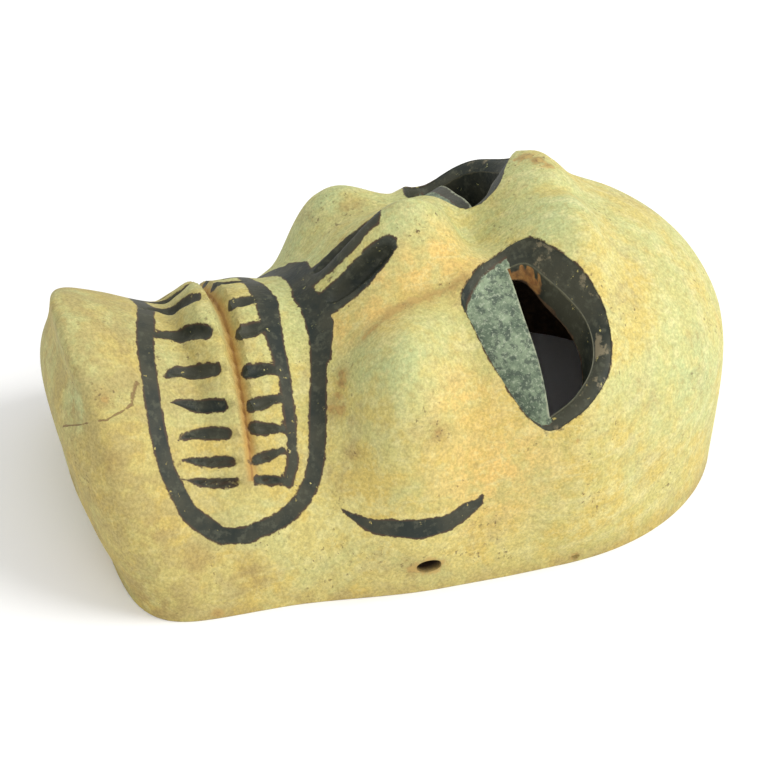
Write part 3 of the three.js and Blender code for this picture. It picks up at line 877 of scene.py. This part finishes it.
def wear_maps(points):
    directions = points / np.maximum(length_of(points), 1)
    directions[:, 2] = np.maximum(directions[:, 2], 0)
    directions /= length_of(directions)
    above_hollow = length_of(points)[:, 0] - length_of(hollow_point(directions))[:, 0]
    above_hollow[by_an_eye(points) & (above_hollow > FOOT_OF_OPENING)] = PAINTED_TO_FOOT
    fold_distance = nearest(points, np.array(NOSE_FOLD, float))[0]
    worn_by_tie, hole_dirt_and_shade = tie_hole_wear(points, directions)
    bare = BARE_REACH.outside - BARE_REACH.strength * spots(points, RUBBED_SPOTS)
    bare = np.minimum(bare, worn_by_tie)
    bare = np.minimum(bare, FOLD_WEAR.spread * fold_distance - FOLD_WEAR.strength)
    bite_distance, bite_share, _ = nearest(points, bite)
    past_bite = np.abs(2 * bite_share - 1) > BITE_WEAR.ends_at
    crack, _, crack_sideways = nearest(points, np.array(CHIN_CRACK, float))
    return {
        "bite_sideways": points[:, 1] + BITE.bend * points[:, 0] ** 2 - BITE.along,
        "bite_end": bite_distance - BITE_WEAR.reach + BITE_WEAR.shorter * past_bite,
        "bare_wood": bare,
        "hole_dirt_and_shade": hole_dirt_and_shade,
        "stain_and_shade": stained_and_shaded(points, bite_distance, fold_distance),
        "crack": crack,
        "crack_sideways": crack_sideways,
        "above_hollow": above_hollow,
    }


def tint_maps(points):
    green_far_side = 1 - smooth(points[:, 0], *FAR_SIDE_GREEN.fades)
    return {
        "green": np.maximum(spots(points, GREENED_SPOTS), FAR_SIDE_GREEN.strength * green_far_side),
        "warm": spots(points, WARM_SPOTS),
        "speckles": spots(points, SPECKLED_SPOTS),
        # The tool rings' wave, also used for painted light on their crests and painted shade in their
        # troughs
        "tool_rings": tool_rings(points),
    }


def paint_maps(points):
    """What the paint needs to know at each point of the finished mask."""
    return brushwork(points) | socket_paint(points) | wear_maps(points) | tint_maps(points)


def seat_in_box(points):
    """Centres the mask and keeps it within the solid's own box."""
    points = points.copy()
    points[:, :2] -= (points[:, :2].min(axis=0) + points[:, :2].max(axis=0)) / 2
    low, high = (np.array(corner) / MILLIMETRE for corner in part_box("mask"))
    for axis in range(3):
        size = points[:, axis].max() - points[:, axis].min()
        points[:, axis] *= min(1, (high - low)[axis] / size)
    return points * MILLIMETRE


def carve_mask():
    mask = closed_dome("carved_mask", SKIN_SEGMENTS, skin)
    cutters = [closed_dome("hollow_cutter", HOLLOW_SEGMENTS, hollow), nick_cutter()]
    for side in (-1, 1):
        cutters += [socket_cutter(side), opening_cutter(side), tie_hole_cutter(side)]
    cut_away(mask, cutters)
    mesh = mask.data
    bm = bmesh.new()
    bm.from_mesh(mesh)
    bmesh.ops.remove_doubles(bm, verts=bm.verts, dist=MERGED_WITHIN)
    bmesh.ops.triangulate(bm, faces=[face for face in bm.faces if len(face.verts) > 4])
    bm.to_mesh(mesh)
    bm.free()
    points = np.empty(len(mesh.vertices) * 3)
    mesh.vertices.foreach_get("co", points)
    points = points.reshape(-1, 3)
    for name, values in paint_maps(points).items():
        attribute = mesh.attributes.new(name, "FLOAT", "POINT")
        attribute.data.foreach_set("value", values.astype(np.float32))
    mesh.vertices.foreach_set("co", seat_in_box(points).ravel())
    mesh.shade_smooth()
    mesh.set_sharp_from_angle(angle=math.radians(SHARP_EDGE))
    mesh.update()
    return mask


class WoodShader:
    """The patterns that the mask's paints share, and short calls for building nodes."""

    def __init__(self, tree):
        self.tree = tree
        self.place = self.node("TexCoord", {}).outputs["Object"]
        self.broad = self.noise(16, 3, 0.5)
        self.patches = self.noise(46, 4, 0.62)
        self.middling = self.noise(120, 4, 0.65)
        self.fine = self.noise(320, 4, 0.65)
        self.tiny = self.noise(900, 3, 0.7)
        self.grain = self.noise(90, 5, 0.6, (6, 0.7, 3), 0.6)
        self.strokes = self.noise(260, 3, 0.65, (1, 0.16, 1), 0.5)
        self.ragged = self.times(self.math("SUBTRACT", self.fine, 0.5), 2.6)
        self.coarse = self.times(self.math("SUBTRACT", self.middling, 0.5), 2.2)

    def node(self, kind, values, **settings):
        """A new node with its settings made and its sockets fed, by name or by number."""
        node = self.tree.nodes.new("ShaderNode" + kind)
        for key, setting in settings.items():
            setattr(node, key, setting)
        for socket, value in values.items():
            self.feed(node.inputs[socket], value)
        return node

    def feed(self, socket, value):
        if isinstance(value, bpy.types.NodeSocket):
            self.tree.links.new(value, socket)
        elif socket.type == "RGBA":
            socket.default_value = (*value, 1.0)
        else:
            socket.default_value = value

    def math(self, operation, first, second=0.0, clamp=False):
        return self.node("Math", {0: first, 1: second}, operation=operation, use_clamp=clamp).outputs[0]

    def plus(self, first, second):
        return self.math("ADD", first, second)

    def times(self, first, second):
        return self.math("MULTIPLY", first, second)

    def spread(self, value, low, high, to_low=0.0, to_high=1.0):
        values = dict(enumerate((value, low, high, to_low, to_high)))
        return self.node("MapRange", values, interpolation_type="SMOOTHSTEP").outputs[0]

    def mix(self, share, first, second, blend="MIX"):
        values = {0: share, 6: first, 7: second}
        return self.node("Mix", values, data_type="RGBA", blend_type=blend).outputs[2]

    def between(self, pattern, low, high, first, second):
        """One tint where a pattern is weak and another where it is strong."""
        return self.mix(self.spread(pattern, low, high), first, second)

    def layer(self, below, pattern, low, high, share, tint):
        """A tint over what lies below it, up to a share, where a pattern is strong."""
        return self.mix(self.spread(pattern, low, high, 0, share), below, tint)

    def noise(self, scale, detail, roughness, stretch=None, distortion=0.0):
        place = self.place
        if stretch:
            place = self.node("Mapping", {"Vector": place, "Scale": stretch}).outputs[0]
        values = {"Vector": place, "Scale": scale, "Detail": detail, "Roughness": roughness}
        return self.node("TexNoise", values | {"Distortion": distortion}).outputs["Fac"]

    def grey_colour(self, value):
        return self.node("CombineColor", {0: value, 1: value, 2: value}).outputs[0]

    def map(self, name):
        return self.node("Attribute", {}, attribute_name=name).outputs["Fac"]


def cream_paint(wood):
    cream = wood.between(wood.broad, 0.35, 0.66, (0.5, 0.45, 0.15), (0.575, 0.485, 0.165))
    cream = wood.layer(cream, wood.patches, 0.45, 0.58, 0.7, (0.59, 0.435, 0.11))
    cream = wood.layer(cream, wood.middling, 0.48, 0.62, 0.6, (0.61, 0.56, 0.24))
    clouds = wood.noise(34, 4, 0.6, (1.3, 0.7, 1), 0.8)
    cream = wood.layer(cream, clouds, 0.5, 0.62, 0.5, (0.46, 0.47, 0.2))
    green = wood.times(wood.map("green"), wood.spread(wood.patches, 0.3, 0.66, 0.95, 0.35))
    cream = wood.mix(green, cream, (0.45, 0.52, 0.245))
    warm = wood.times(wood.map("warm"), wood.spread(wood.middling, 0.35, 0.62, 0.3, 0.9))
    cream = wood.mix(warm, cream, (0.72, 0.475, 0.14))
    cream = wood.layer(cream, wood.fine, 0.52, 0.66, 0.42, (0.42, 0.34, 0.12))
    cream = wood.layer(cream, wood.fine, 0.47, 0.36, 0.4, (0.68, 0.6, 0.26))
    return wood.layer(cream, wood.strokes, 0.55, 0.7, 0.35, (0.66, 0.6, 0.28))


def aged(wood, cream):
    """Smudges, staining and the painted shade towards the chin, painted light and shade along the tool's
    rings, mottling and specks over the cream paint.
    """
    smudges = wood.spread(wood.noise(30, 5, 0.7), 0.54, 0.66, 0, 0.42)
    smudges = wood.times(smudges, wood.spread(wood.fine, 0.36, 0.6, 0.3, 1.0))
    cream = wood.mix(smudges, cream, (0.36, 0.27, 0.11))
    # Old stains, with the painted shade that darkens the paint towards the chin
    stains_and_shade = wood.times(wood.map("stain_and_shade"), wood.spread(wood.middling, 0.36, 0.6, 0.25, 0.85))
    cream = wood.mix(stains_and_shade, cream, (0.36, 0.255, 0.085))
    # Painted light on the tool rings' crests and painted shade in their troughs, broken by the brush's
    # streaks
    rings = wood.times(wood.map("tool_rings"), wood.spread(wood.strokes, 0.38, 0.62, 0.3, 1.0))
    cream = wood.layer(cream, rings, 0.15, 0.9, 0.2, (0.7, 0.64, 0.34))
    cream = wood.layer(cream, rings, -0.15, -0.9, 0.16, (0.47, 0.38, 0.13))
    mottling = wood.spread(wood.tiny, 0.32, 0.68, 0.8, 1.12)
    cream = wood.mix(1.0, cream, wood.grey_colour(mottling), "MULTIPLY")
    specks = wood.spread(wood.noise(560, 3, 0.6), 0.6, 0.68)
    clusters = wood.spread(wood.noise(38, 3, 0.6), 0.5, 0.64, 0.06, 0.75)
    clusters = wood.math("MAXIMUM", clusters, wood.map("speckles"))
    return wood.mix(wood.times(specks, clusters), cream, (0.14, 0.1, 0.045))


def rubbed_wood(wood):
    return wood.between(wood.fine, 0.4, 0.62, (0.46, 0.31, 0.1), (0.26, 0.155, 0.055))


def rubbed_mask(wood):
    reach = wood.plus(wood.map("bare_wood"), wood.times(wood.ragged, 3.4))
    return wood.spread(reach, 1.4, -1.2, 0, 0.85)


def stained_bite(wood, below):
    """The worn bite with its staining, and a darker line along its bottom."""
    reach = wood.math("ABSOLUTE", wood.plus(wood.map("bite_sideways"), 0.4))
    within = wood.spread(wood.map("bite_end"), 0.3, -1.5)
    worn = wood.spread(wood.plus(reach, wood.times(wood.coarse, 0.8)), 3.1, 0.5, 0, 0.8)
    below = wood.mix(wood.times(worn, within), below, (0.46, 0.265, 0.075))
    # A darker line along the bite's bottom
    bottom = wood.spread(wood.plus(reach, wood.times(wood.ragged, 0.5)), 0.8, 0.15, 0, 0.6)
    return wood.mix(wood.times(bottom, within), below, (0.25, 0.115, 0.035))


def black_reach(wood):
    """Distance outside the black paint, measured beside a line's middle where there is one."""
    outside = wood.map("line_outside")
    beside = wood.math("ABSOLUTE", wood.map("line_sideways"))
    beside = wood.math("SUBTRACT", beside, wood.map("line_half_width"))
    line = wood.math("MAXIMUM", beside, wood.math("SUBTRACT", outside, 0.6))
    line = wood.math("MINIMUM", line, outside)
    return wood.math("MINIMUM", line, wood.map("socket_black"))


def black_mask(wood, reach):
    """The black paint with its ragged edge and the specks that the brush missed."""
    ragged_reach = wood.plus(wood.plus(reach, wood.ragged), wood.times(wood.coarse, 0.7))
    brushed = wood.spread(wood.noise(330, 4, 0.7), 0.29, 0.35)
    return wood.times(wood.spread(ragged_reach, 0.3, -0.25), brushed)


def black_paint(wood, reach):
    black = wood.between(wood.patches, 0.35, 0.62, (0.015, 0.021, 0.016), (0.048, 0.048, 0.03))
    black = wood.layer(black, wood.fine, 0.5, 0.68, 0.6, (0.085, 0.088, 0.058))
    black = wood.layer(black, reach, -0.9, -0.1, 0.7, (0.085, 0.045, 0.022))
    worn = wood.spread(wood.noise(70, 5, 0.7), 0.55, 0.62, 0, 0.75)
    worn = wood.times(worn, wood.map("bevel"))
    return wood.mix(worn, black, (0.24, 0.2, 0.12))


def grey_paint(wood):
    grey = wood.between(wood.middling, 0.4, 0.6, (0.115, 0.155, 0.1), (0.24, 0.3, 0.19))
    grey = wood.layer(grey, wood.fine, 0.48, 0.6, 0.75, (0.06, 0.078, 0.06))
    return wood.layer(grey, wood.tiny, 0.52, 0.64, 0.6, (0.42, 0.47, 0.33))


def worn_opening(wood, below, grey_mask):
    """The worn edge round each eye opening, lighter as a painted highlight, and the bared wood in its end
    by the nose.
    """
    # Painted highlight: a lighter line along the worn edge round each eye opening
    edge = wood.plus(wood.map("worn_edge_and_highlight"), wood.ragged)
    edge_highlight_tint = wood.mix(grey_mask, (0.13, 0.125, 0.075), (0.4, 0.42, 0.28))
    below = wood.layer(below, edge, 0.9, 0.1, 0.75, edge_highlight_tint)
    bare = wood.between(wood.grain, 0.3, 0.7, (0.28, 0.125, 0.04), (0.42, 0.225, 0.07))
    bare = wood.layer(bare, wood.fine, 0.45, 0.7, 0.7, (0.13, 0.07, 0.03))
    bared = wood.plus(wood.map("shaft_wood"), wood.times(wood.ragged, 0.3))
    return wood.layer(below, bared, 0.35, 0.65, 1, bare)


def crack_mask(wood):
    crack = wood.math("ABSOLUTE", wood.map("crack_sideways"))
    crack = wood.math("MAXIMUM", crack, wood.math("SUBTRACT", wood.map("crack"), 1.0))
    crack = wood.plus(crack, wood.times(wood.ragged, 0.5))
    return wood.spread(crack, 0.42, 0.12, 0, 0.85)


def raw_hollow_and_shade(wood, below):
    """The unpainted wood of the hollow, made darker as a painted shade inside the mask, and the dirt and
    painted shade in the tie holes.
    """
    # Raw wood, darkened towards black as painted shade inside the hollow
    raw_wood_and_shade = wood.between(wood.grain, 0.3, 0.7, (0.055, 0.034, 0.018), (0.12, 0.072, 0.035))
    raw_wood_and_shade = wood.layer(raw_wood_and_shade, wood.middling, 0.4, 0.7, 0.6, (0.035, 0.022, 0.014))
    below = wood.layer(below, wood.map("above_hollow"), 4.2, 1.6, 1, raw_wood_and_shade)
    # Dirt and painted shade inside the tie holes
    return wood.mix(wood.map("hole_dirt_and_shade"), below, (0.05, 0.03, 0.018))


def wood_relief(wood, rubbed, crack, black):
    height = wood.times(wood.fine, 0.35)
    for pattern, strength in (
        (wood.tiny, 0.12), (wood.middling, 0.5), (wood.grain, 0.35), (wood.strokes, 0.3),
        (rubbed, -0.3), (crack, -0.9), (black, 0.12),
    ):
        height = wood.plus(height, wood.times(pattern, strength))
    return wood.node("Bump", {"Strength": 0.6, "Distance": 0.0007, "Height": height}).outputs[0]


def painted_wood_material():
    material = bpy.data.materials.new("painted_wood")
    material.use_nodes = True
    tree = material.node_tree
    tree.nodes.clear()
    wood = WoodShader(tree)
    rubbed, crack = rubbed_mask(wood), crack_mask(wood)
    grey = wood.spread(wood.map("grey_paint"), 0.3, -0.3)
    reach = black_reach(wood)
    black = black_mask(wood, reach)

    surface = wood.mix(rubbed, aged(wood, cream_paint(wood)), rubbed_wood(wood))
    surface = stained_bite(wood, surface)
    surface = wood.mix(grey, surface, grey_paint(wood))
    surface = wood.mix(black, surface, black_paint(wood, reach))
    surface = worn_opening(wood, surface, grey)
    surface = wood.mix(crack, surface, (0.2, 0.12, 0.05))
    surface = raw_hollow_and_shade(wood, surface)

    roughness = wood.plus(0.66, wood.times(wood.fine, 0.2))
    roughness = wood.math("SUBTRACT", roughness, wood.times(black, 0.14), clamp=True)
    relief = wood_relief(wood, rubbed, crack, black)
    finish = wood.node("BsdfPrincipled", {
        "Base Color": surface, "Roughness": roughness, "Specular IOR Level": 0.3, "Normal": relief,
    })
    wood.node("OutputMaterial", {"Surface": finish.outputs[0]})
    return material


def floor_material():
    material = bpy.data.materials.new("pale_floor")
    material.use_nodes = True
    finish = material.node_tree.nodes["Principled BSDF"]
    finish.inputs["Base Color"].default_value = (0.95, 0.95, 0.95, 1.0)
    finish.inputs["Roughness"].default_value = 0.9
    finish.inputs["Specular IOR Level"].default_value = 0.1
    return material


def lay_floor():
    bm = bmesh.new()
    bmesh.ops.create_grid(bm, x_segments=2, y_segments=2, size=6)
    floor = finished_mesh(bm, "floor")
    for vert in floor.data.vertices:
        vert.co.z = -0.0002
    floor.data.materials.append(floor_material())


def aim(item, place, target):
    item.location = place
    item.rotation_euler = (Vector(target) - Vector(place)).to_track_quat("-Z", "Y").to_euler()


def soft_light(name, place, size, power):
    light = bpy.data.lights.new(name, "AREA")
    light.shape = "DISK"
    light.size = size
    light.energy = power
    aim(placed(name, light), place, (0, 0, 0.04))


def set_lights():
    world = bpy.data.worlds.new("pale_room")
    world.use_nodes = True
    background = world.node_tree.nodes["Background"]
    background.inputs["Color"].default_value = (1.0, 1.0, 1.0, 1.0)
    background.inputs["Strength"].default_value = 0.82
    bpy.context.scene.world = world
    soft_light("crown_side_light", (0.55, 1.2, 1.3), 1.1, 23)
    soft_light("camera_side_light", (1.4, -0.1, 0.8), 1.2, 3)


def set_camera():
    turn, height = math.radians(CAMERA.turn), math.radians(CAMERA.height)
    place = (math.cos(height) * math.cos(turn), -math.cos(height) * math.sin(turn), math.sin(height))
    view = bpy.data.cameras.new("camera")
    view.lens = CAMERA.lens
    view.sensor_width = CAMERA.sensor
    view.shift_x, view.shift_y = CAMERA.shift
    view.clip_start = 0.05
    camera = placed("camera", view)
    aim(camera, place, (0, 0, 0))
    bpy.context.scene.camera = camera


def write_sizes():
    bpy.context.view_layer.update()


set_camera()
mask = carve_mask()
mask.data.materials.clear()
mask.data.materials.append(painted_wood_material())
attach(mask, "root")
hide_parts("mask")
lay_floor()
set_lights()
bpy.context.scene.view_settings.view_transform = "Standard"
write_sizes()
